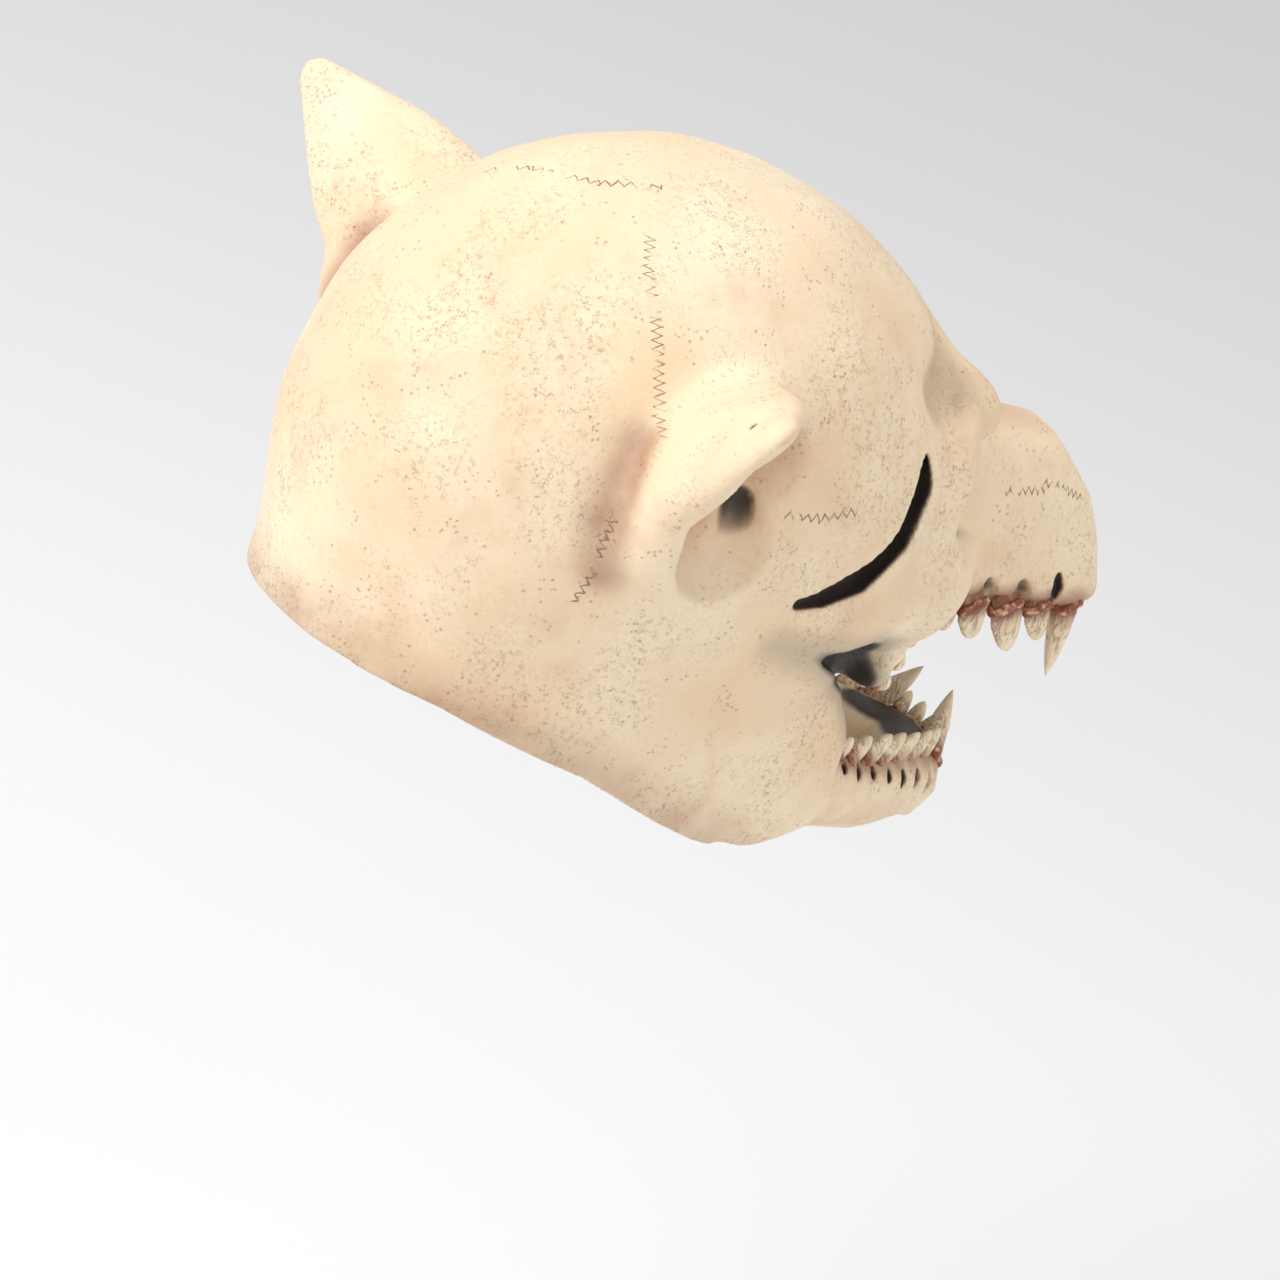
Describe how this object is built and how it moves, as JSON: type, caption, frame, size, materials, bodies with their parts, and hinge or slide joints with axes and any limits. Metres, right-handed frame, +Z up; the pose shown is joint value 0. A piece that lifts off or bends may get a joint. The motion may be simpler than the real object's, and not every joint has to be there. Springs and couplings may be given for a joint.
{
  "type": "dog skull mask",
  "caption": "Full-head costume mask in the form of a dog's skull with open jaws, bared teeth and upright ears; hollow latex hood worn over the head.",
  "frame": {"origin": "inner crown of the hood, where it sits on the wearer's head", "axes": "+Z up, the muzzle points to -Y, the wearer's right is -X"},
  "size_m": [0.3049, 0.3589, 0.2592],
  "materials": {
    "skull_hood": "matt cast latex, bone colour with tan and red-brown wash and black recesses",
    "teeth": "satin cast latex, ivory with red-brown wash at the gums"
  },
  "bodies": {
    "root": {"lower_canine_left": "teeth", "lower_canine_right": "teeth", "lower_incisor_1_left": "teeth", "lower_incisor_1_right": "teeth", "lower_incisor_2_left": "teeth", "lower_incisor_2_right": "teeth", "lower_molar_1_left": "teeth", "lower_molar_1_right": "teeth", "lower_molar_2_left": "teeth", "lower_molar_2_right": "teeth", "lower_molar_3_left": "teeth", "lower_molar_3_right": "teeth", "lower_premolar_1_left": "teeth", "lower_premolar_1_right": "teeth", "lower_premolar_2_left": "teeth", "lower_premolar_2_right": "teeth", "lower_premolar_3_left": "teeth", "lower_premolar_3_right": "teeth", "lower_premolar_4_left": "teeth", "lower_premolar_4_right": "teeth", "skull_hood": "skull_hood", "upper_canine_left": "teeth", "upper_canine_right": "teeth", "upper_incisor_1_left": "teeth", "upper_incisor_1_right": "teeth", "upper_incisor_2_left": "teeth", "upper_incisor_2_right": "teeth", "upper_incisor_3_left": "teeth", "upper_incisor_3_right": "teeth", "upper_molar_1_left": "teeth", "upper_molar_1_right": "teeth", "upper_molar_2_left": "teeth", "upper_molar_2_right": "teeth", "upper_molar_3_left": "teeth", "upper_molar_3_right": "teeth", "upper_molar_4_left": "teeth", "upper_molar_4_right": "teeth", "upper_premolar_1_left": "teeth", "upper_premolar_1_right": "teeth", "upper_premolar_2_left": "teeth", "upper_premolar_2_right": "teeth", "upper_premolar_3_left": "teeth", "upper_premolar_3_right": "teeth", "upper_premolar_4_left": "teeth", "upper_premolar_4_right": "teeth"}
  },
  "joints": []
}
